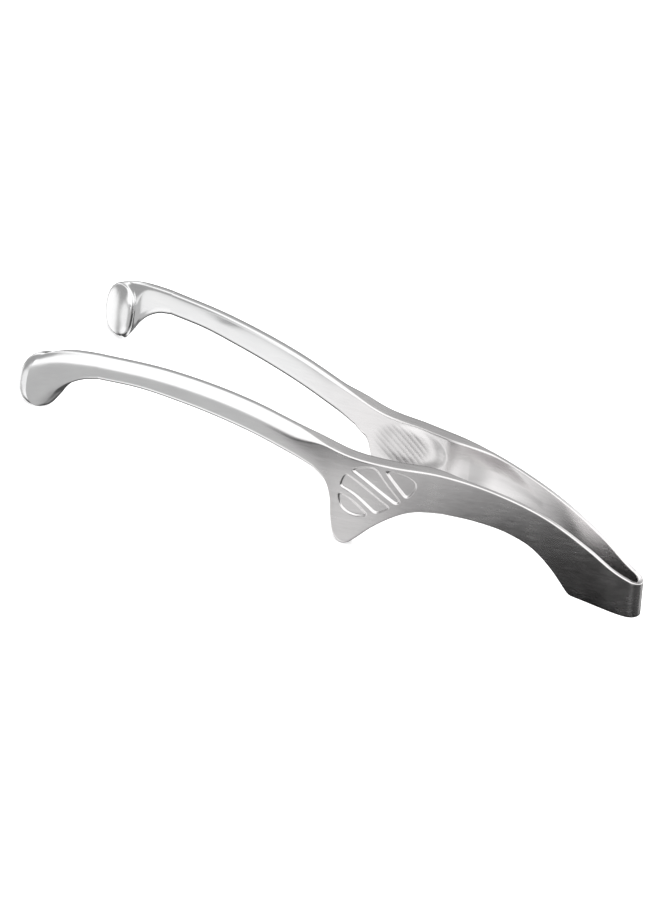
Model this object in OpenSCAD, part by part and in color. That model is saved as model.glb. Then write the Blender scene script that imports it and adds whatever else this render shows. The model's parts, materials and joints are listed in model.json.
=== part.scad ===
// Spring nutcracker, forged from one bar of stainless steel.
// A hairpin bow carries two arched leaves. Each leaf ends in a ribbed jaw with a spur
// below it, and a slim curved handle with a flared end.
//
// Every profile is drawn in the forging frame: X runs from the bow to the handle ends,
// Y across the two arms, and Z along the axis that the bow is bent round.
// stand() then leans the piece back until its spurs and handle ends touch the floor.

/* [Strip] */
// Thickness of the bow and the leaves
strip_t = 1.6; // [1.2:0.1:2]
// Outside radius of the bow's nose
bow_r = 4; // [3.5:0.1:4.5]
// Distance from the nose to the line that each leaf flexes about
flex_x = 16; // [14:1:20]
// Clearance round the flex knuckles
knuckle_gap = 0.25; // [0.15:0.05:0.35]

/* [Jaws] */
// Thickness of each jaw
jaw_t = 5; // [4.5:0.1:6]
// Depth of the recesses between the outer ribs
recess_depth = 0.6; // [0.3:0.1:1]
// Half the width of an outer rib
rib_half = 0.9; // [0.6:0.1:1.2]
// Depth of the oval nut seat
seat_depth = 1.5; // [1:0.1:2]
// Number of grip ridges across the nut seat
grip_count = 9; // [5:2:11]
// Height of a grip ridge
grip_h = 0.4; // [0.2:0.1:0.6]

/* [Handles] */
// Thickness of each handle
handle_t = 5; // [4.5:0.1:6]
// Thickness of each flared end at its rim
end_t = 8.5; // [7:0.5:9]
// How far the rim of a flared end slants back on its inner side
rim_slant = 8.5; // [6:0.5:12]
// How much further the rim reaches at its lower side than at its upper side
rim_tilt = 1.8; // [0:0.1:3]
// Height of the crowned cap over its rim
cap_h = 3; // [2:0.1:4]

/* [Stance] */
// Angle that the piece leans back when it stands on its spurs and handle ends
lean = 16.4; // [16:0.1:16.8]

/* [Hidden] */
// Where the parts of an arm begin and end along X
jaw_x = 58;
handle_x = 96;
flare_x = 160;
spine_x = 34;
corner_x = 20;
step_x = 2;

// Overlap that welds two stretches of one solid
weld = 0.02;

// Half the spread of the two arms at their outer faces, as [x, half spread]
spread = [[bow_r, bow_r], [10, 5.5], [16, 6.2], [28, 7.5], [42, 9.8], [60, 13.5], [74, 16.8],
          [92, 18.4], [116, 21.4], [140, 25], [163, 29.2], [183, 33.2]];

// Upper edge of an arm in side view, as [x, z]
upper = [[-1, -2], [5.5, 1.1], [15, 7.6], [27, 14.6], [42, 20.3], [59, 23.9], [73, 24.7],
         [87, 26.2], [98, 30], [116, 36.4], [140, 41.8], [163, 44]];

// Lower edge of the bow, up to its corner
bow_lower = [[-1, -12.2], [4.5, -11.5], [10, -10], [corner_x, -7.6]];

// Lower edge of the leaf, from that corner to the jaw
leaf_lower = [[corner_x, -7.6], [25.5, -0.6], [31.5, 5], [38, 8.3], [48, 10.8], [jaw_x, 11.7]];

// Lower edge of a handle
handle_lower = [[handle_x, 19.9], [98.5, 21], [104, 23.2], [113, 26.7], [125, 30.5],
                [137, 33.5], [148, 35.7], [flare_x, 36.7]];

// Lower outline of a jaw, round its spur and up its back edge
jaw_lower = [[jaw_x, 11.7], [65.5, 11.1], [71, 9], [77, 4.9], [82, 0.2], [84.5, -1.8],
             [87, -1.9], [88.9, 0.4], [89.9, 5.2], [90.4, 11.2], [92.2, 16.4], [handle_x, 19.9]];

// Outline of the ribbed oval on a jaw's outer face
oval = [[87.9, 15.2], [87, 9.8], [83, 7.6], [77.5, 8.6], [71, 12.5], [66.5, 16.8],
        [65.5, 20.4], [69, 22.8], [75, 23.6], [80.5, 23.4], [85.6, 21]];

// Centre lines of the three outer ribs
ribs = [[[90, 15.8], [83.4, 13.2], [76, 7.6]],
        [[88, 22.4], [81.2, 18.8], [70, 11.4]],
        [[78.3, 26.6], [72.8, 19.5], [66.3, 11.9]]];

// Flared end: stations along the handle, as [upper x, upper z, lower x, lower z, slant share]
flare = [[160, 43.8, 160, 36.7, 0], [165, 43.9, 164.6, 35.9, 0.05],
         [169.5, 43.8, 168.8, 34, 0.17], [173, 43.5, 172.4, 31.4, 0.35],
         [176, 43.1, 175.4, 28.6, 0.57], [178.6, 42.7, 178.4, 26, 0.8],
         [180.4, 42.3, 180.4, 24.8, 1]];

// How far the cap's outer side leans out from the rim, how tall the cap is beside the rim,
// and the way it faces
cap_lean = [2.9, -1.5, 0.1];
cap_tall = 0.94;
cap_facing = [0.44, -0.89, 0.12];

// Nut seat: centre and the two radii of its ring-shaped cutter
seat_at = [76.5, 18];
seat_long_r = 34;
seat_cross_r = 14;
grip_pitch = 2.1;
grip_w = 0.8;
grip_angle = 48;

// Seat on the floor
rest_x = 91.2;
rest_z = 26.4;

ring_sides = 28;
tall = 80;

// ---------- curves ----------

function rise(p, i) = (p[i + 1][1] - p[i][1]) / (p[i + 1][0] - p[i][0]);
function run(p, i) = p[i + 1][0] - p[i][0];

// Slope of a smooth curve at its point i
function slope(p, i) =
    i == 0 ? rise(p, 0)
    : i == len(p) - 1 ? rise(p, i - 1)
    : (rise(p, i - 1) * run(p, i) + rise(p, i) * run(p, i - 1)) / (run(p, i - 1) + run(p, i));

function span(p, x, i = 0) = i >= len(p) - 2 || x < p[i + 1][0] ? i : span(p, x, i + 1);

// Height at x of the smooth curve through points [x, height]
function curve(p, x) =
    let (i = span(p, x), h = run(p, i), t = (x - p[i][0]) / h)
    p[i][1] * (1 + 2 * t) * (1 - t) ^ 2 + p[i + 1][1] * t * t * (3 - 2 * t)
    + h * t * (1 - t) * (slope(p, i) * (1 - t) - slope(p, i + 1) * t);

// Point at share t between b and c of a smooth line through a, b, c and d
function blend(a, b, c, d, t) =
    b + 0.5 * t * (c - a + t * (2 * a - 5 * b + 4 * c - d + t * (3 * (b - c) + d - a)));

// Smooth open line through p, with n steps between two points
function open_line(p, n) =
    let (last = len(p) - 1)
    [for (i = [0:last - 1], j = [0:n - (i < last - 1 ? 1 : 0)])
        blend(p[max(i - 1, 0)], p[i], p[i + 1], p[min(i + 2, last)], j / n)];

// Smooth closed line through p
function closed_line(p, n) =
    let (k = len(p))
    [for (i = [0:k - 1], j = [0:n - 1])
        blend(p[(i + k - 1) % k], p[i], p[(i + 1) % k], p[(i + 2) % k], j / n)];

function stations(from, to) =
    let (n = max(1, round((to - from) / step_x)))
    [for (i = [0:n]) from + (to - from) * i / n];

function backwards(p) = [for (i = [len(p) - 1:-1:0]) p[i]];
function outer_y(x) = curve(spread, x);
function ease(t) = t * t * (3 - 2 * t);
function share(x, from, to) = ease(min(1, max(0, (x - from) / (to - from))));

// ---------- building blocks ----------

// Leans the piece back and sets it on the floor, centred under its box
module stand() {
    translate([-rest_x, 0, rest_z]) rotate([0, lean, 0]) children();
}

// One arm is drawn on the +Y side, and the other is its mirror image
module right_side() {
    mirror([0, 1, 0]) children();
}

// Solid of a plan outline, as tall as any part of the piece
module from_plan() {
    translate([0, 0, -tall / 2]) linear_extrude(2 * tall) children();
}

// Solid of a side outline, across the whole width
module from_side() {
    translate([0, tall, 0]) rotate([90, 0, 0]) linear_extrude(2 * tall) children();
}

// Plan outline between two depths below the outer face
module plan_band(from, to, depth_from, depth_to) {
    xs = stations(from, to);
    polygon(concat([for (x = xs) [x, outer_y(x) - depth_from(x)]],
                   backwards([for (x = xs) [x, outer_y(x) - depth_to(x)]])));
}

// Skin over a stack of rings that all have the same number of points
module loft(rings) {
    n = len(rings[0]);
    last = len(rings) - 1;
    points = [for (ring = rings, p = ring) p];
    sides = [for (i = [0:last - 1], j = [0:n - 1])
        let (a = i * n + j, b = i * n + (j + 1) % n) each [[a, a + n, b], [b, a + n, b + n]]];
    ends = [[for (j = [0:n - 1]) j], [for (j = [n - 1:-1:0]) last * n + j]];
    polyhedron(points, concat(sides, ends));
}

// Rounded section as [across, up], each from -1 to 1; power 2 is an ellipse
function section(power) =
    [for (j = [0:ring_sides - 1])
        let (a = 360 * j / ring_sides)
        [sign(cos(a)) * abs(cos(a)) ^ (2 / power), sign(sin(a)) * abs(sin(a)) ^ (2 / power)]];

// ---------- bow and leaves ----------

function strip_lower(x) = x < corner_x ? curve(bow_lower, x) : curve(leaf_lower, x);

module strip_silhouette(from, to) {
    xs = stations(from, to);
    polygon(concat([for (x = xs) [x, curve(upper, x)]],
                   backwards([for (x = xs) [x, strip_lower(x)]])));
}

module flex_line(r) {
    translate([flex_x, outer_y(flex_x) - strip_t / 2]) circle(r = r, $fn = 48);
}

module bow_leg() {
    difference() {
        plan_band(bow_r - weld, flex_x, function (x) 0, function (x) strip_t);
        flex_line(strip_t / 2 + knuckle_gap);
    }
}

module bow_nose() {
    translate([bow_r, 0]) difference() {
        circle(r = bow_r, $fn = 96);
        circle(r = bow_r - strip_t, $fn = 96);
        translate([0, -bow_r]) square(2 * bow_r);
    }
}

module spring_bow() {
    color("dimgray") stand() intersection() {
        union() {
            from_plan() bow_nose();
            from_plan() bow_leg();
            right_side() from_plan() bow_leg();
        }
        from_side() strip_silhouette(-1, flex_x + 1);
    }
}

module leaf() {
    intersection() {
        union() {
            from_plan() plan_band(flex_x, jaw_x, function (x) 0, function (x) strip_t);
            from_plan() flex_line(strip_t / 2);
        }
        from_side() strip_silhouette(flex_x - step_x, jaw_x);
    }
}

module leaf_left() {
    color("darkgray") stand() leaf();
}

module leaf_right() {
    color("darkgray") stand() right_side() leaf();
}

// Half-round spine that stiffens the inner side of a leaf and runs out to a point
module spine() {
    loft([for (x = stations(spine_x, jaw_x))
        let (k = (x - spine_x) / (jaw_x - spine_x), deep = 0.05 + (strip_t - 0.05) * k,
             half = 0.8 + 5 * k, z = (curve(upper, x) + curve(leaf_lower, x)) / 2)
        [for (a = [-90:18:90]) [x, outer_y(x) - strip_t - deep * cos(a), z + half * sin(a)]]]);
}

module spine_left() {
    color("silver") stand() spine();
}

module spine_right() {
    color("silver") stand() right_side() spine();
}

// ---------- jaws ----------

function jaw_depth(x) = 2 * strip_t + (jaw_t - 2 * strip_t) * share(x, jaw_x, 66);

module jaw_plate() {
    intersection() {
        from_plan() plan_band(jaw_x, handle_x, function (x) 0, function (x) jaw_depth(x));
        from_side() polygon(concat([for (x = stations(jaw_x, handle_x)) [x, curve(upper, x)]],
                                   backwards(open_line(jaw_lower, 5))));
    }
}

// Outline of one rib, as wide as it is between two recesses
module rib_outline(centre) {
    line = open_line(centre, 5);
    last = len(line) - 1;
    sides = [for (i = [0:last])
        let (d = line[min(i + 1, last)] - line[max(i - 1, 0)]) [-d[1], d[0]] * rib_half / norm(d)];
    polygon(concat([for (i = [0:last]) line[i] + sides[i]],
                   backwards([for (i = [0:last]) line[i] - sides[i]])));
}

module recesses() {
    intersection() {
        from_plan() plan_band(jaw_x, handle_x, function (x) -1, function (x) recess_depth);
        from_side() difference() {
            polygon(closed_line(oval, 4));
            for (centre = ribs) rib_outline(centre);
        }
    }
}

// Ring that cuts the oval nut seat; shrink makes its section smaller
module seat_ring(shrink = 0) {
    x = seat_at[0];
    turn = atan((outer_y(x + 5) - outer_y(x - 5)) / 10);
    reach = seat_long_r + seat_cross_r - seat_depth;
    y = outer_y(x) - jaw_t;
    translate([x + reach * sin(turn), y - reach * cos(turn), seat_at[1]])
        rotate_extrude($fn = 180) translate([seat_long_r, 0]) circle(r = seat_cross_r - shrink, $fn = 90);
}

module jaw() {
    difference() {
        jaw_plate();
        recesses();
        seat_ring();
    }
}

module jaw_left() {
    color("lightgray") stand() jaw();
}

module jaw_right() {
    color("lightgray") stand() right_side() jaw();
}

// Ridges that stand up from the nut seat and slant across it
module nut_grips() {
    half = (grip_count - 1) / 2;
    intersection() {
        jaw_plate();
        difference() {
            seat_ring();
            seat_ring(grip_h);
        }
        translate([seat_at[0], outer_y(seat_at[0]) - jaw_t, seat_at[1]]) rotate([0, grip_angle, 0])
            for (i = [-half:half]) translate([i * grip_pitch - grip_w / 2, -5, -8]) cube([grip_w, 10, 16]);
    }
}

module nut_grips_left() {
    color("gray") stand() nut_grips();
}

module nut_grips_right() {
    color("gray") stand() right_side() nut_grips();
}

// ---------- handles ----------

function handle_ring(x) =
    let (top = curve(upper, x), bottom = curve(handle_lower, x), y = outer_y(x) - handle_t / 2,
         power = 7 - 4.4 * share(x, handle_x, 110))
    [for (p = section(power)) [x, y + p[0] * handle_t / 2, (top + bottom) / 2 + p[1] * (top - bottom) / 2]];

module handle() {
    loft([for (x = stations(handle_x, flare_x)) handle_ring(x)]);
}

module handle_left() {
    color("gainsboro") stand() handle();
}

module handle_right() {
    color("gainsboro") stand() right_side() handle();
}

// Ring of a flared end at station f; its inner side slants back towards the bow
function flare_ring(f) =
    [for (p = section(2.6))
        let (u = (p[1] + 1) / 2, inward = (1 - p[0]) / 2, x = f[2] + (f[0] - f[2]) * u)
        [x + f[4] * (rim_tilt * (0.5 - u) - rim_slant * inward),
         outer_y(x) - (handle_t + (end_t - handle_t) * f[4]) * inward,
         f[3] + (f[1] - f[3]) * u]];

module flared_end() {
    loft([for (f = open_line(flare, 3)) flare_ring(f)]);
}

module flared_end_left() {
    color("gainsboro") stand() flared_end();
}

module flared_end_right() {
    color("gainsboro") stand() right_side() flared_end();
}

// Crowned oval cap on the rim of a flared end
module end_cap() {
    rim = flare_ring(flare[len(flare) - 1]);
    low = min([for (p = rim) p[1]]);
    high = max([for (p = rim) p[1]]);
    middle = (rim[0] + rim[ring_sides / 2]) / 2;
    lean_out = [for (p = rim)
        cap_lean * (0.1 + 0.9 * (p[1] - low) / (high - low))
        + [0, 0, (cap_tall - 1) * (p[2] - middle[2])]];
    top = rim + lean_out;
    centre = (top[0] + top[ring_sides / 2]) / 2;
    wall = [for (t = [0, 30, 60]) [for (i = [0:ring_sides - 1])
        rim[i] + [lean_out[i][0] * sin(t), lean_out[i][1] * (1 - cos(t)), lean_out[i][2] * sin(t)]]];
    crown = [for (k = [1, 0.97, 0.88, 0.7, 0.42, 0.1])
        [for (p = top) centre + (p - centre) * k + cap_facing * cap_h * sqrt(1 - k * k)]];
    loft(concat(wall, crown));
}
module end_cap_left() {
    color("white") stand() end_cap();
}

module end_cap_right() {
    color("white") stand() right_side() end_cap();
}

// ---------- nodes ----------

spring_bow();
leaf_left();
spine_left();
jaw_left();
nut_grips_left();
handle_left();
flared_end_left();
end_cap_left();
leaf_right();
spine_right();
jaw_right();
nut_grips_right();
handle_right();
flared_end_right();
end_cap_right();
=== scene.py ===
"""Looks of the spring nutcracker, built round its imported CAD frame.

Shapes are worked out in the forging frame, in millimetres: X runs from the bow to the handle
ends, Y across the two arms, and Z along the axis that the bow is bent round. The flex joint
says how that frame leans and where it sits. An arm is made as the left one, and mirrored for
the right.
"""
import json
import math

import bpy
import numpy as np
from mathutils import Matrix, Vector


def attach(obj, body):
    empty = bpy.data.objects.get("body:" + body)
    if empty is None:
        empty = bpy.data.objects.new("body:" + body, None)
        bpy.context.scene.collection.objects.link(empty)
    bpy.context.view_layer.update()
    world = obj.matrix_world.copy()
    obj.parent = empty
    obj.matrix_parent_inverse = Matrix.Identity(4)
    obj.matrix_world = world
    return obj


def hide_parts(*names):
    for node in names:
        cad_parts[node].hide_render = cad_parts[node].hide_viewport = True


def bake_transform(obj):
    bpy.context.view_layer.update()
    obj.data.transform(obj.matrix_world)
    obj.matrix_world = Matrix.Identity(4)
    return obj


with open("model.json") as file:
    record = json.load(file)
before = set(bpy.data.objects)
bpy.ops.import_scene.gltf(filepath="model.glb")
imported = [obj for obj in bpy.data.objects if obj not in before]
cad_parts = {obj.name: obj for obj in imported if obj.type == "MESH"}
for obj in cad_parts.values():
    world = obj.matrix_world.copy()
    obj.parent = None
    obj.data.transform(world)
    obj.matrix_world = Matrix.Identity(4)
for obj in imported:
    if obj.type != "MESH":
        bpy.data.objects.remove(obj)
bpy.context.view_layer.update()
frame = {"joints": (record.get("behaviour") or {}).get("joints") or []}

# ---------- driving sizes, in millimetres ----------

STRIP_T = 1.6               # thickness of the bow and the leaves
JAW_T = 5.0
HANDLE_T = 5.0
END_T = 8.5                 # thickness of a flared end at its rim

BOW_R = 4.0                 # outer radius of the bow's nose
BOW_OPENING = 13.1          # degrees that each leg already opens by where it leaves the nose
NOSE_X = BOW_R * (1 - math.sin(math.radians(BOW_OPENING)))
NOSE_Y = BOW_R * math.cos(math.radians(BOW_OPENING))

FLEX_X = 16.0               # the flex line of each leg

CORNER_X = 20.0             # corner in the strip's lower edge, where the bow ends
SPINE_X = 34.0              # start of the spine
JAW_X = 58.0                # start of the jaw
HANDLE_X = 96.0             # start of the handle
FLARE_X = 160.0             # start of the flared end
SQUARE_X = (8, 50)          # thickness turns from square to the strip to straight across here
THICKEN_X = (50, 66)        # the strip thickens to the jaw here
JAW_EDGES_X = (46, 68)      # the edges grow as round as the jaw's here
BAR_EDGES_X = (91, 104)     # and as round as the handle's here
CROWN_X = (90, 108)         # the outer face begins to bulge here

RIM_SLANT = 8.5             # the rim's outer side reaches this much further than its inner side
RIM_TILT = 1.8              # and its lower edge this much further than its upper edge
CAP_LEAN = (2.9, -1.5, 0.1) # from the rim to where the dome begins, on a cap's outer side
CAP_INNER = 0.1             # share of that lean on the cap's inner side
CAP_TALL = 0.94             # height of a cap where its dome begins, as a share of the rim's
CAP_FACING = (0.44, -0.89, 0.12)    # the way that the dome rises
CAP_H = 2.6                 # height of the dome

# Half the spread of the arms at their outer faces, as (x, half spread)
SPREAD = [(NOSE_X, NOSE_Y), (10, 5.5), (16, 6.2), (28, 7.5), (42, 9.8), (60, 13.5), (74, 16.8),
          (92, 18.4), (116, 21.4), (140, 25), (163, 29.2), (183, 33.2)]

# Edges in side view, as (x, z)
UPPER = [(-1, -2), (5.5, 1.1), (15, 7.6), (27, 14.6), (42, 20.3), (59, 23.9), (73, 24.7),
         (87, 26.2), (98, 30), (116, 36.4), (140, 41.8), (163, 44)]
BOW_LOWER = [(-1, -12.2), (4.5, -11.5), (10, -10), (CORNER_X, -7.6)]
LEAF_LOWER = [(CORNER_X, -7.6), (25.5, -0.6), (31.5, 5), (38, 8.3), (48, 10.8), (JAW_X, 11.7)]
JAW_LOWER = [(JAW_X, 11.7), (65.5, 11.1), (71, 9), (77, 4.9), (82, 0.2), (84.5, -1.8), (87, -1.9),
             (88.9, 0.4), (89.9, 5.2), (90.4, 11.2), (92.2, 16.4), (HANDLE_X, 19.9)]
HANDLE_LOWER = [(HANDLE_X, 19.9), (98.5, 21), (104, 23.2), (113, 26.7), (125, 30.5), (137, 33.5),
                (148, 35.7), (FLARE_X, 36.7)]

# Flared end, as (upper x, upper z, lower x, lower z, share of the rim's slant)
FLARE = [(160, 43.8, 160, 36.7, 0), (165, 43.9, 164.6, 35.9, 0.05), (169.5, 43.8, 168.8, 34, 0.17),
         (173, 43.5, 172.4, 31.4, 0.35), (176, 43.1, 175.4, 28.6, 0.57),
         (178.6, 42.7, 178.4, 26, 0.8), (180.4, 42.3, 180.4, 24.8, 1)]

# Ribbed oval on the outer face of a jaw, as (x, z)
OVAL = [(87.9, 15.2), (87, 9.8), (83, 7.6), (77.5, 8.6), (71, 12.5), (66.5, 16.8),
        (65.5, 20.4), (69, 22.8), (75, 23.6), (80.5, 23.4), (85.6, 21)]
RIBS = [[(90, 15.8), (83.4, 13.2), (76, 7.6)],
        [(88, 22.4), (81.2, 18.8), (70, 11.4)],
        [(78.3, 26.6), (72.8, 19.5), (66.3, 11.9)]]
RIB_HALF = 0.85             # half the width of a rib
RECESS_DEPTH = 0.5
RECESS_WALL = 0.4           # width of the sloping wall round a recess
RECESS_CORNER = 1.2         # rounding of a recess where a rib meets the oval

SPINE_H = 0.8 * STRIP_T     # height of the spine where it meets the jaw
SPINE_HALF = 1.4            # half its width where it starts
SPINE_GROWTH = 7.5          # and how much that grows to the jaw

# Nut seat on the inner face of a jaw
SEAT_AT = (78.0, 18.0)
SEAT_HALF = (13.0, 7.2)     # half its length and half its height
SEAT_DEPTH = 1.4
GRIP_PITCH = 1.6
GRIP_ANGLE = 50.0
GRIP_H = 0.018

# Corner radii as (inward, upward): outer top, inner top, inner bottom, outer bottom
STRIP_RADII = [(0.3, 0.35)] * 4
JAW_RADII = [(0.4, 0.45), (0.5, 0.5), (0.6, 0.7), (0.9, 1.0)]
BAR_RADII = [(2.9, 3.8), (1.5, 0.7), (2.0, 3.0), (1.5, 1.6)]
REAR_RADIUS = (2.3, 2.8)    # inner edge of the jaw's back
RIM_ROUND = 0.44            # corner radii of the oval rim, as a share of its thickness and height
CROWN = 0.25                # bulge of a handle's outer face
INNER_CROWN = 1.8 * CROWN   # bulge of its inner face, from just above the middle up

# ---------- curves ----------


def curve(knots, x):
    """Height at x of the smooth curve through the knots."""
    k = np.array(knots, float)
    run = np.diff(k[:, 0])
    rise = np.diff(k[:, 1]) / run
    inner = (rise[:-1] * run[1:] + rise[1:] * run[:-1]) / (run[:-1] + run[1:])
    slope = np.concatenate([rise[:1], inner, rise[-1:]])
    x = np.asarray(x, float)
    i = np.clip(np.searchsorted(k[:, 0], x, side="right") - 1, 0, len(run) - 1)
    t = (x - k[i, 0]) / run[i]
    ends = k[i, 1] * (1 + 2 * t) * (1 - t) ** 2 + k[i + 1, 1] * t * t * (3 - 2 * t)
    return ends + run[i] * t * (1 - t) * (slope[i] * (1 - t) - slope[i + 1] * t)


def smooth_line(points, steps, closed=False):
    """Catmull-Rom line through the points, with this many steps between two of them."""
    p = np.array(points, float)
    n = len(p)
    t = np.arange(steps)[:, None] / steps
    line = []
    for i in range(n if closed else n - 1):
        near = [j % n if closed else min(max(j, 0), n - 1) for j in range(i - 1, i + 3)]
        a, b, c, d = p[near]
        cubic = c - a + t * (2 * a - 5 * b + 4 * c - d + t * (3 * (b - c) + d - a))
        line.append(b + 0.5 * t * cubic)
    if not closed:
        line.append(p[-1:])
    return np.concatenate(line)


def along(line, count):
    """This many points at equal distances along the line."""
    gone = np.concatenate([[0], np.cumsum(np.linalg.norm(np.diff(line, axis=0), axis=1))])
    shares = np.linspace(0, 1, count)
    return np.stack([np.interp(shares * gone[-1], gone, c) for c in line.T], axis=1)


def ease(t):
    """Smooth step from 0 to 1."""
    t = np.clip(t, 0, 1)
    return t * t * (3 - 2 * t)


def share(x, start, end):
    """Goes smoothly from 0 to 1 as x goes from start to end."""
    return ease((np.asarray(x, float) - start) / (end - start))


def even(start, end, spacing):
    """Places from start to end, about this spacing apart."""
    return np.linspace(start, end, max(2, int(round((end - start) / spacing)) + 1))


def half_spread(x):
    return curve(SPREAD, x)


def upper_edge(x):
    return curve(UPPER, x)


def strip_lower(x):
    """Lower edge of the strip, with its corner slightly rounded."""
    x = np.asarray(x, float)[..., None] + np.linspace(-0.9, 0.9, 7)
    edge = np.where(x < CORNER_X, curve(BOW_LOWER, x), curve(LEAF_LOWER, x))
    return edge.mean(axis=-1)


def edge_thickness(x):
    """Thickness of the strip and the jaw at their edges, beside the spine."""
    return STRIP_T + (JAW_T - STRIP_T) * share(x, *THICKEN_X)


# ---------- relief on the arms ----------


def distance_to(line, x, z):
    """Distance of each point from the nearest stretch of the line."""
    best = np.full(x.shape, np.inf)
    for (ax, az), (bx, bz) in zip(line[:-1], line[1:]):
        dx, dz = bx - ax, bz - az
        t = np.clip(((x - ax) * dx + (z - az) * dz) / (dx * dx + dz * dz), 0, 1)
        best = np.minimum(best, np.hypot(x - ax - t * dx, z - az - t * dz))
    return best


def is_inside(loop, x, z):
    """Which points lie inside the closed loop."""
    hit = np.zeros(x.shape, bool)
    for (ax, az), (bx, bz) in zip(loop[:-1], loop[1:]):
        if az != bz:
            hit ^= ((az > z) != (bz > z)) & (x < ax + (z - az) * (bx - ax) / (bz - az))
    return hit


def soft_min(a, b, width):
    """Smaller of two distances, rounded where they are closer than width."""
    h = np.clip(0.5 + 0.5 * (b - a) / width, 0, 1)
    return b * (1 - h) + a * h - width * h * (1 - h)


def recess(x, z):
    """Depth of the recesses between the outer ribs."""
    depth = np.zeros(x.shape)
    near = (x > 62) & (x < 91) & (z > 4) & (z < 26)
    if near.any():
        px, pz = x[near], z[near]
        loop = smooth_line(OVAL, 8, closed=True)
        loop = np.concatenate([loop, loop[:1]])
        d = distance_to(loop, px, pz) * np.where(is_inside(loop, px, pz), 1, -1)
        for rib in RIBS:
            d = soft_min(d, distance_to(smooth_line(rib, 8), px, pz) - RIB_HALF, RECESS_CORNER)
        depth[near] = RECESS_DEPTH * ease(d / RECESS_WALL)
    return depth


def seat(x, z):
    """Depth of the nut seat, deepest towards the bow, less its grips."""
    dx, dz = x - SEAT_AT[0], z - SEAT_AT[1]
    bowl = 1 - (dx / SEAT_HALF[0]) ** 2 - (dz / SEAT_HALF[1]) ** 2
    bowl_depth = SEAT_DEPTH * ease(bowl / 0.8) * (0.5 - 0.5 * dx / SEAT_HALF[0])
    a = math.radians(GRIP_ANGLE)
    across = dx * math.cos(a) - dz * math.sin(a)
    ridge = (0.5 + 0.5 * np.cos(2 * math.pi * across / GRIP_PITCH)) ** 2
    return bowl_depth - GRIP_H * ridge * ease(bowl / 0.4) * share(dx, -8, -3)


def spine(x, z):
    """Height of the spine that grows out of the inner side of a leaf and fades on the jaw."""
    k = np.clip((x - SPINE_X) / (JAW_X - SPINE_X), 0, 1)
    middle = (upper_edge(x) + strip_lower(np.minimum(x, JAW_X))) / 2
    q = np.clip(1 - ((z - middle) / (SPINE_HALF + SPINE_GROWTH * k)) ** 2, 0, 1) ** 1.5
    return SPINE_H * k * q * (1 - share(x, *THICKEN_X))


# ---------- rings ----------

CORNER_STEPS = 6            # steps round a corner of a ring
EDGE_STEPS = 4              # steps over its upper or lower edge
NOSE_STEPS = 60             # steps round the nose


def outline(corners, face_steps):
    """Inward and upward shares of the points round each ring.

    corners holds the shares that each ring's four corner radii take of its thickness and its
    height, in the order outer top, inner top, inner bottom, outer bottom.
    """
    c = np.asarray(corners, float)[..., None]
    top, low = c[:, :2], c[:, 2:]
    (outer_top, outer_top_up), (inner_top, inner_top_up) = np.moveaxis(top, 0, 2)
    (inner_low, inner_low_up), (outer_low, outer_low_up) = np.moveaxis(low, 0, 2)
    face = np.arange(face_steps) / face_steps
    edge = np.arange(EDGE_STEPS) / EDGE_STEPS
    turn = np.radians(90) * np.arange(CORNER_STEPS) / CORNER_STEPS
    s, k = np.sin(turn), np.cos(turn)
    zero, one = 0 * outer_top, 1 + 0 * outer_top
    blocks = [
        (zero + 0 * face, outer_low_up + (1 - outer_top_up - outer_low_up) * face),
        (outer_top * (1 - k), 1 - outer_top_up * (1 - s)),
        (outer_top + (1 - outer_top - inner_top) * edge, one + 0 * edge),
        (1 - inner_top * (1 - s), 1 - inner_top_up * (1 - k)),
        (one + 0 * face, 1 - inner_top_up - (1 - inner_top_up - inner_low_up) * face),
        (1 - inner_low * (1 - k), inner_low_up * (1 - s)),
        (1 - inner_low - (1 - inner_low - outer_low) * edge, zero + 0 * edge),
        (outer_low * (1 - s), outer_low_up * (1 - k)),
    ]
    inward = np.concatenate([b[0] for b in blocks], axis=1)
    upward = np.concatenate([b[1] for b in blocks], axis=1)
    return inward, upward


def corner_shares(thick, tall, radii):
    """Shares that the corner radii take of rings of this thickness and height."""
    size = np.stack([thick, tall], axis=1)[:, None, :]
    return np.minimum(np.array(radii, float) / size, 0.5)


class Rings:
    """Rings across an arm, each from the lower to the upper edge in side view.

    relief says whether the recesses, the nut seat and the spine are cut into them. crown and
    slant are their shares of the handle's bulge and of the rim's slant.
    """

    def __init__(self, lower, upper, thick, radii, relief=False, crown=0.0, slant=0.0):
        self.lower, self.upper, self.thick, self.relief = lower, upper, thick, relief
        self.crown = np.broadcast_to(crown, thick.shape)
        self.slant = np.broadcast_to(slant, thick.shape)
        self.corners = corner_shares(thick, np.linalg.norm(upper - lower, axis=1), radii)


def radii_at(x):
    """Corner radii that grow from the strip's to the jaw's and on to the handle's."""
    strip, jaw, bar = np.array(STRIP_RADII), np.array(JAW_RADII), np.array(BAR_RADII)
    to_jaw = share(x, *JAW_EDGES_X)[:, None, None]
    to_handle = share(x, *BAR_EDGES_X)[:, None, None]
    return strip + (jaw - strip) * to_jaw + (bar - jaw) * to_handle


def crown_at(x):
    return share(x, *CROWN_X)


def leaf_rings():
    x = np.concatenate([even(NOSE_X, 30, 0.4)[:-1], even(30, JAW_X, 0.5)])
    lower, upper = np.stack([x, strip_lower(x)], axis=1), np.stack([x, upper_edge(x)], axis=1)
    return Rings(lower, upper, edge_thickness(x), radii_at(x), relief=True)


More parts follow.
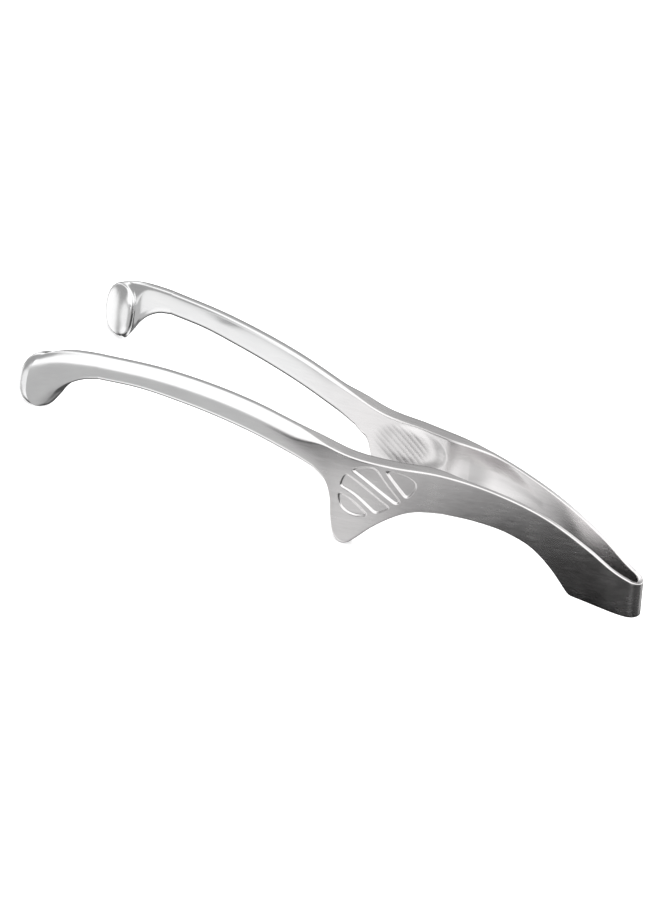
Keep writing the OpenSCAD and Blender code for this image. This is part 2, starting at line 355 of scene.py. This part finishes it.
def jaw_rings():
    """Rings that fan out round the spur, and round off the inner edge of the jaw's back."""
    count = 230
    lower = along(smooth_line(JAW_LOWER, 24), count)
    top_x = np.linspace(JAW_X, HANDLE_X, 400)
    upper = along(np.stack([top_x, upper_edge(top_x)], axis=1), count)
    x, low_x = upper[:, 0], lower[:, 0]
    radii = radii_at(x)
    back = (share(low_x, 88.4, 89.8) * (1 - share(low_x, 91, 96)))[:, None]
    radii[:, 2] = np.maximum(radii[:, 2], back * REAR_RADIUS)
    return Rings(lower, upper, edge_thickness(x), radii, relief=True, crown=crown_at(x))


def handle_rings():
    x = even(HANDLE_X, FLARE_X, 0.8)
    lower = np.stack([x, curve(HANDLE_LOWER, x)], axis=1)
    upper = np.stack([x, upper_edge(x)], axis=1)
    return Rings(lower, upper, np.full(len(x), HANDLE_T), radii_at(x), crown=crown_at(x))


def flare_rings():
    """Rings that grow in height and thickness, and slant, up to the oval rim."""
    f = smooth_line(FLARE, 7)
    upper, lower, slant = f[:, 0:2], f[:, 2:4], f[:, 4]
    tall = np.hypot(f[:, 0] - f[:, 2], f[:, 1] - f[:, 3])
    thick = HANDLE_T + (END_T - HANDLE_T) * slant
    bar = np.array(BAR_RADII)
    oval = np.stack([RIM_ROUND * thick, RIM_ROUND * tall], axis=1)[:, None, :]
    radii = bar + (oval - bar) * ease(slant * 1.1)[:, None, None]
    return Rings(lower, upper, thick, radii, crown=1 - slant, slant=slant)


def arm_points(rings, face_steps):
    """Grid of points on the left arm's skin, a row to a ring."""
    u, v = outline(rings.corners, face_steps)
    thick, crown, slant = (a[:, None] for a in (rings.thick, rings.crown, rings.slant))
    side = rings.lower[:, None] + v[..., None] * (rings.upper - rings.lower)[:, None]
    x, z = side[..., 0], side[..., 1]
    outer, inner = np.zeros(x.shape), np.zeros(x.shape)
    if rings.relief:
        outer = recess(x, z)
        inner = np.maximum(seat(x, z), 0) * (x > JAW_X) - spine(x, z) + thick - edge_thickness(x)
    outer = outer + CROWN * crown * (2 * v - 1) ** 2
    inner = inner + INNER_CROWN * crown * np.clip(2 * v - 0.9, 0, None) ** 2
    depth = outer + u * (thick - outer - inner)
    slope = (half_spread(x + 0.05) - half_spread(x - 0.05)) / 0.1 * (1 - share(x, *SQUARE_X))
    length = np.hypot(slope, 1)
    forward = slant * (RIM_TILT * (0.5 - v) - RIM_SLANT * u)
    return np.stack([x + depth * slope / length + forward,
                     half_spread(x) - depth / length, z], axis=-1)


def nose_points(face_steps):
    """Grid of points round the nose of the bow, from the right arm to the left."""
    end = math.radians(90 - BOW_OPENING)
    a = np.linspace(-end, end, NOSE_STEPS + 1)
    x = BOW_R * (1 - np.cos(a))
    lower, upper = strip_lower(x), upper_edge(x)
    thick = np.full(len(a), STRIP_T)
    u, v = outline(corner_shares(thick, upper - lower, STRIP_RADII), face_steps)
    z = lower[:, None] + v * (upper - lower)[:, None]
    radius = BOW_R - u * STRIP_T
    return np.stack([BOW_R - radius * np.cos(a)[:, None], radius * np.sin(a)[:, None], z], axis=-1)


# ---------- from the forging frame to meshes in the row frame ----------

flex = next(j for j in frame["joints"] if j["name"] == "right_flex")
LEAN = math.atan2(flex["axis"][0], flex["axis"][2])
MOVE_X = flex["pos_m"][0] * 1000 - FLEX_X * math.cos(LEAN)
MOVE_Z = flex["pos_m"][2] * 1000 + FLEX_X * math.sin(LEAN)


def to_row(points):
    """Points in forging millimetres as row metres."""
    p = np.asarray(points, float)
    x = p[..., 0] * math.cos(LEAN) + p[..., 2] * math.sin(LEAN) + MOVE_X
    z = -p[..., 0] * math.sin(LEAN) + p[..., 2] * math.cos(LEAN) + MOVE_Z
    return np.stack([x, p[..., 1], z], axis=-1) / 1000


def add_object(name, data):
    thing = bpy.data.objects.new(name, data)
    bpy.context.scene.collection.objects.link(thing)
    return thing


def skin_faces(rows, n, has_tip):
    """Faces over rows of n points, closed by a flat end first and a flat end or a tip last."""
    j = np.arange(n)
    k = (j + 1) % n
    faces = []
    for first in range(0, (rows - 1) * n, n):
        faces.extend(np.stack([first + j, first + k, first + n + k, first + n + j], axis=1).tolist())
    faces.append(j[::-1].tolist())
    last = (rows - 1) * n
    if has_tip:
        faces.extend([[last + p, last + q, last + n] for p, q in zip(j, k)])
    else:
        faces.append((last + j).tolist())
    return faces


def sharpen_ends(mesh, rows, n, has_tip):
    """Marks the edges round the flat ends as sharp."""
    pairs = np.zeros(len(mesh.edges) * 2, np.int32)
    mesh.edges.foreach_get("vertices", pairs)
    pairs = pairs.reshape(-1, 2)
    sharp = (pairs < n).all(axis=1)
    if not has_tip:
        sharp |= (pairs >= (rows - 1) * n).all(axis=1)
    mesh.attributes.new("sharp_edge", "BOOLEAN", "EDGE").data.foreach_set("value", sharp)


def make_piece(name, grid, material, mirror=False, tip=None):
    """Closed mesh over the grid's rings. A tip closes the last ring in a point instead.

    The mesh keeps each point's place in the forging frame, for the steel's grain.
    """
    rows, n = grid.shape[:2]
    points = grid.reshape(-1, 3)
    if tip is not None:
        points = np.concatenate([points, [tip]])
    if mirror:
        points = points * [1, -1, 1]
    faces = skin_faces(rows, n, tip is not None)
    if not mirror:
        faces = [f[::-1] for f in faces]
    mesh = bpy.data.meshes.new(name)
    mesh.from_pydata(to_row(points).tolist(), [], faces)
    mesh.update()
    mesh.polygons.foreach_set("use_smooth", [True] * len(mesh.polygons))
    sharpen_ends(mesh, rows, n, tip is not None)
    forge = mesh.attributes.new("forge", "FLOAT_VECTOR", "POINT")
    forge.data.foreach_set("vector", (points / 1000).astype(np.float32).ravel())
    mesh.materials.append(material)
    return add_object(name, mesh)


# ---------- materials ----------

# Roughness of the steel and how far it swings
SATIN_ROUGH = (0.25, 0.04)
POLISH_ROUGH = (0.2, 0.03)
POLISH_X = (0.092, 0.118)       # satin gives way to polish between these, in metres
NOISE_SPAN = (0.3, 0.7)         # what most of a noise lies between
FINE_SCALE = 1200.0             # grain and handling marks
CLOUD_SCALE = 110.0             # cloudy wear
GRAIN_STRETCH = 0.06            # scale of the grain along the arm
BUMP_HEIGHT = 0.000005


class Shader:
    """Small helper that adds nodes to one material and links them."""

    def __init__(self, name):
        self.material = bpy.data.materials.new(name)
        self.material.use_nodes = True
        self.nodes = self.material.node_tree.nodes
        self.links = self.material.node_tree.links
        self.surface = self.nodes["Principled BSDF"]

    def add(self, kind, **values):
        """New node; values are its properties or its inputs, with _ for a space."""
        node = self.nodes.new(kind)
        for key, value in values.items():
            if key in node.bl_rna.properties:
                setattr(node, key, value)
            else:
                node.inputs[key.replace("_", " ")].default_value = value
        return node

    def link(self, source, target):
        self.links.new(source, target)

    def place(self, scale):
        """Place in the forging frame in metres, times the scale along each axis."""
        source = self.add("ShaderNodeAttribute", attribute_name="forge")
        node = self.add("ShaderNodeMapping")
        node.inputs["Scale"].default_value = scale
        self.link(source.outputs["Vector"], node.inputs["Vector"])
        return node.outputs["Vector"]

    def noise(self, vector, scale, detail=3.0):
        node = self.add("ShaderNodeTexNoise", Scale=scale, Detail=detail)
        self.link(vector, node.inputs["Vector"])
        return node.outputs["Fac"]

    def remap(self, value, source, low, high):
        """Value that goes from low to high as the given one crosses the source range."""
        node = self.add("ShaderNodeMapRange")
        self.link(value, node.inputs["Value"])
        for key, number in zip(("From Min", "From Max", "To Min", "To Max"), (*source, low, high)):
            node.inputs[key].default_value = number
        return node.outputs["Result"]

    def swing(self, value, middle, reach):
        """Value that swings this far about its middle with the noise."""
        return self.remap(value, NOISE_SPAN, middle - reach, middle + reach)

    def total(self, a, b):
        node = self.add("ShaderNodeMath", operation="ADD")
        self.link(a, node.inputs[0])
        self.link(b, node.inputs[1])
        return node.outputs[0]

    def times(self, value, factor):
        node = self.add("ShaderNodeMath", operation="MULTIPLY")
        self.link(value, node.inputs[0])
        node.inputs[1].default_value = factor
        return node.outputs[0]

    def blend(self, factor, a, b, data_type="FLOAT"):
        """Turns from a to b with the factor; each is a socket or a colour."""
        node = self.add("ShaderNodeMix", data_type=data_type)
        self.link(factor, node.inputs["Factor"])
        for key, value in (("A", a), ("B", b)):
            if isinstance(value, tuple):
                node.inputs[key].default_value = (*value, 1)
            else:
                self.link(value, node.inputs[key])
        return node.outputs["Result"]

    def tint(self, value, dark, light):
        """Colour between two, with the noise."""
        return self.blend(self.remap(value, NOISE_SPAN, 0.0, 1.0), dark, light, "RGBA")


def steel(name):
    """Stainless steel that is satin up to the jaws and polished along the handles.

    The satin part has grain along the arm, and both have cloudy wear and fine handling marks.
    """
    s = Shader(name)
    s.surface.inputs["Metallic"].default_value = 1.0
    place = s.place((1.0, 1.0, 1.0))
    parts = s.add("ShaderNodeSeparateXYZ")
    s.link(place, parts.inputs[0])
    polished = s.remap(parts.outputs["X"], POLISH_X, 0.0, 1.0)
    grain = s.noise(s.place((GRAIN_STRETCH, 1.0, 1.0)), FINE_SCALE)
    speck = s.noise(place, FINE_SCALE, detail=2.0)
    wear = s.times(s.total(grain, s.noise(place, CLOUD_SCALE)), 0.5)
    rough = s.blend(polished, s.swing(wear, *SATIN_ROUGH), s.swing(wear, *POLISH_ROUGH))
    s.link(rough, s.surface.inputs["Roughness"])
    colour = s.blend(polished, s.tint(wear, (0.74, 0.725, 0.725), (0.83, 0.815, 0.815)),
                     s.tint(wear, (0.76, 0.76, 0.765), (0.82, 0.82, 0.82)), "RGBA")
    s.link(colour, s.surface.inputs["Base Color"])
    bump = s.add("ShaderNodeBump", Strength=1.0, Distance=BUMP_HEIGHT)
    s.link(s.blend(polished, s.total(grain, speck), s.times(speck, 0.12)), bump.inputs["Height"])
    s.link(bump.outputs["Normal"], s.surface.inputs["Normal"])
    return s.material


STEELS = {"satin_steel": steel("satin_brushed"), "polished_steel": steel("polished")}

# ---------- pieces ----------

bow = make_piece("bow", nose_points(24), STEELS["satin_steel"])
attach(bow, "bow")
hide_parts("spring_bow")

# Pieces of one arm: name, rings, steps over a face, slot, and the CAD nodes that it stands for
ARM_PIECES = [
    ("leaf", leaf_rings(), 48, "satin_steel", ("leaf", "spine")),
    ("jaw", jaw_rings(), 112, "satin_steel", ("jaw", "nut_grips")),
    ("handle", handle_rings(), 40, "polished_steel", ("handle",)),
    ("flared_end", flare_rings(), 40, "polished_steel", ("flared_end",)),
]


def flex_with_bow(leaf):
    """Bakes a leaf's placement into its mesh, and attaches it to no body."""
    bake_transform(leaf)


def make_arm(side, mirror):
    """Every piece of one arm, from the leaf to the cap on its handle."""
    for name, rings, face_steps, slot, nodes in ARM_PIECES:
        grid = arm_points(rings, face_steps)
        piece = make_piece(name + "_piece_" + side, grid, STEELS[slot], mirror)
        if name == "leaf":
            flex_with_bow(piece)
        else:
            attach(piece, side + "_arm")
        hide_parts(*[node + "_" + side for node in nodes])
    make_cap(side, mirror, rim=grid[-1])


def make_cap(side, mirror, rim):
    """Domed cap on the rim of a flared end, thickest and rounded off on its outer side."""
    y = rim[:, 1]
    outward = ((y - y.min()) / (y.max() - y.min()))[:, None]
    lift = (CAP_INNER + (1 - CAP_INNER) * outward) * CAP_LEAN
    lift[:, 2] -= (1 - CAP_TALL) * (rim[:, 2] - rim[:, 2].mean())
    top = rim + lift
    centre = top.mean(axis=0)
    rise = np.array(CAP_FACING) * CAP_H
    wall = [rim + lift * (math.sin(t), 1 - math.cos(t), math.sin(t))
            for t in np.radians(np.linspace(0, 80, 9))]
    dome = [centre + (top - centre) * math.cos(t) + rise * math.sin(t)
            for t in np.radians(np.linspace(0, 88, 26))]
    cap = make_piece("cap_piece_" + side, np.stack(wall + dome), STEELS["polished_steel"], mirror,
                     tip=centre + rise)
    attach(cap, side + "_arm")
    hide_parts("end_cap_" + side)


make_arm("left", False)
make_arm("right", True)

# ---------- floor and light ----------


def make_floor():
    """White floor that stays out of the steel, where the table cards stand in for it."""
    mesh = bpy.data.meshes.new("floor")
    reach = 6.0
    mesh.from_pydata([(-reach, -reach, 0), (reach, -reach, 0), (reach, reach, 0), (-reach, reach, 0)],
                     [], [(0, 1, 2, 3)])
    s = Shader("floor_paper")
    s.surface.inputs["Base Color"].default_value = (0.9, 0.9, 0.9, 1)
    s.surface.inputs["Roughness"].default_value = 0.9
    s.surface.inputs["Specular IOR Level"].default_value = 0.0
    s.surface.inputs["Emission Color"].default_value = (1, 1, 1, 1)
    s.surface.inputs["Emission Strength"].default_value = 0.4
    mesh.materials.append(s.material)
    floor = add_object("floor", mesh)
    floor.visible_glossy = False


# Patches of the tent: azimuth from +Y towards +X, elevation, reach and softness in degrees, and
# brightness
PATCHES = [
    (78, 14, 40, 10, 0.42),     # grey past the handle ends
    (32, -32, 20, 8, 1.1),      # white low in front
    (162, 27, 20, 8, 0.5),      # grey high behind
    (172, -12, 28, 8, 0.08),    # black low behind
    (172, -50, 38, 8, 0.08),    # black steeply down behind
    (118, -42, 18, 8, 1.3),     # white low past the far handle's end
    (95, -32, 18, 8, 1.3),      # white low past both handle ends
    (20, -66, 18, 8, 1.25),     # white steeply down in front
    (-90, -12, 40, 14, 0.08),   # black past the bow
]


class Tent:
    """Studio light tent drawn on the world by direction."""

    def __init__(self):
        world = bpy.data.worlds.new("tent")
        bpy.context.scene.world = world
        world.use_nodes = True
        self.nodes, self.links = world.node_tree.nodes, world.node_tree.links
        self.way = self.nodes.new("ShaderNodeTexCoord").outputs["Generated"]
        parts = self.nodes.new("ShaderNodeSeparateXYZ")
        self.links.new(self.way, parts.inputs[0])
        self.height = parts.outputs["Z"]

    def step(self, value, start, end, low, high):
        """Goes smoothly from low to high as value goes from start to end."""
        node = self.nodes.new("ShaderNodeMapRange")
        node.interpolation_type = "SMOOTHSTEP"
        self.links.new(value, node.inputs["Value"])
        for key, number in zip(("From Min", "From Max", "To Min", "To Max"), (start, end, low, high)):
            node.inputs[key].default_value = number
        return node.outputs["Result"]

    def patch(self, level, azimuth, elevation, reach, soft, brightness):
        """Fades level to brightness round one direction."""
        a, e = math.radians(azimuth), math.radians(elevation)
        dot = self.nodes.new("ShaderNodeVectorMath")
        dot.operation = "DOT_PRODUCT"
        dot.inputs[1].default_value = (math.sin(a) * math.cos(e), math.cos(a) * math.cos(e), math.sin(e))
        self.links.new(self.way, dot.inputs[0])
        edge = math.cos(math.radians(reach + soft)), math.cos(math.radians(max(reach - soft, 0)))
        amount = self.step(dot.outputs["Value"], edge[0], edge[1], 0.0, 1.0)
        mix = self.nodes.new("ShaderNodeMix")
        self.links.new(amount, mix.inputs["Factor"])
        self.links.new(level, mix.inputs["A"])
        mix.inputs["B"].default_value = brightness
        return mix.outputs["Result"]

    def shine(self, level):
        """Lights the world by this level."""
        back = self.nodes["Background"]
        back.inputs["Color"].default_value = (1, 1, 1, 1)
        self.links.new(level, back.inputs["Strength"])


def make_tent():
    """White above and grey below, with the patches that the steel reflects."""
    tent = Tent()
    level = tent.step(tent.height, -0.10, 0.02, 0.58, 1.35)
    for patch in PATCHES:
        level = tent.patch(level, *patch)
    tent.shine(level)


CARD_EDGE = 0.45                # share of a card, from its rim in, over which it fades


def make_card(name, centre, across, along, brightness):
    """Soft-edged oval card that paints a reflection, seen only in reflections, with two half axes in
    millimetres.
    """
    centre, across, along = Vector(centre) / 1000, Vector(across) / 1000, Vector(along) / 1000
    mesh = bpy.data.meshes.new(name)
    corners = [centre + across * i + along * j for i, j in ((-1, -1), (1, -1), (1, 1), (-1, 1))]
    mesh.from_pydata(corners, [], [(0, 1, 2, 3)])
    s = Shader(name)
    place = s.add("ShaderNodeMapping", vector_type="TEXTURE")
    place.inputs["Location"].default_value = centre
    place.inputs["Scale"].default_value = (across.length, along.length, along.length)
    s.link(s.add("ShaderNodeTexCoord").outputs["Object"], place.inputs["Vector"])
    ball = s.add("ShaderNodeTexGradient", gradient_type="SPHERICAL")
    s.link(place.outputs["Vector"], ball.inputs["Vector"])
    cover = s.add("ShaderNodeMapRange", interpolation_type="SMOOTHSTEP")
    cover.inputs["From Max"].default_value = CARD_EDGE
    s.link(ball.outputs["Fac"], cover.inputs["Value"])
    glow = s.add("ShaderNodeEmission", Strength=brightness)
    mix = s.add("ShaderNodeMixShader")
    s.link(cover.outputs["Result"], mix.inputs["Fac"])
    s.link(s.add("ShaderNodeBsdfTransparent").outputs[0], mix.inputs[1])
    s.link(glow.outputs[0], mix.inputs[2])
    s.link(mix.outputs[0], s.nodes["Material Output"].inputs["Surface"])
    mesh.materials.append(s.material)
    card = add_object(name, mesh)
    card.visible_camera = card.visible_diffuse = card.visible_shadow = False


def make_cards():
    """Painted reflections: a dark and a light stretch of table, painted shade under the bow, and a
    painted dark reflection before the near handle's root.
    """
    # Painted dark reflection: a black card on the near side past the bow that the near leaf reflects as
    # dark table
    make_card("table_painted_dark_reflection", (-118, 40, 4), (104, 0, 0), (0, 72, 0), 0.02)
    # Painted light reflection: a glowing card on the far side that the steel reflects as lit table
    make_card("table_painted_light_reflection", (-38, -42, 1), (36, 0, 0), (0, 38, 0), 1.6)
    # Painted shade: a black card under the bow that the steel reflects as the shaded table there
    make_card("bow_painted_shade", (-84, 0, 11), (30, 0, 0), (0, 24, 0), 0.0)
    # Painted dark reflection: a black card before the near handle's root that darkens the neck's
    # reflection
    make_card("neck_painted_dark_reflection", (4, 62, 14), (18, 0, 0), (0, 0, 16), 0.03)


def make_lamp():
    """Big soft lamp overhead that whitens the floor and stays out of the steel."""
    data = bpy.data.lights.new("lamp", "AREA")
    data.size = 1.6
    data.energy = 7.0
    lamp = add_object("lamp", data)
    lamp.location = (0, 0, 1.2)
    lamp.visible_glossy = False


make_floor()
make_tent()
make_cards()
make_lamp()

# ---------- camera ----------


def make_camera(target, azimuth, elevation, roll, distance):
    """Long-lens camera on the target; roll lifts the picture's right side, in degrees."""
    a, e, r = (math.radians(v) for v in (azimuth, elevation, roll))
    back = Vector((math.sin(a) * math.cos(e), -math.cos(a) * math.cos(e), math.sin(e)))
    level = (-back).cross(Vector((0, 0, 1))).normalized()
    upright = back.cross(level)
    right = level * math.cos(r) + upright * math.sin(r)
    up = back.cross(right)
    data = bpy.data.cameras.new("camera")
    data.lens = 200
    data.sensor_width = 36
    data.clip_start, data.clip_end = 0.05, 50
    camera = add_object("camera", data)
    turn = Matrix((right, up, back)).transposed().to_4x4()
    camera.matrix_world = Matrix.Translation(Vector(target) + back * distance) @ turn
    bpy.context.scene.camera = camera


make_camera(target=(0.0071, 0.0023, 0.0168), azimuth=191.87, elevation=29.97, roll=21.8,
            distance=1.449)
bpy.context.scene.view_settings.view_transform = "Standard"
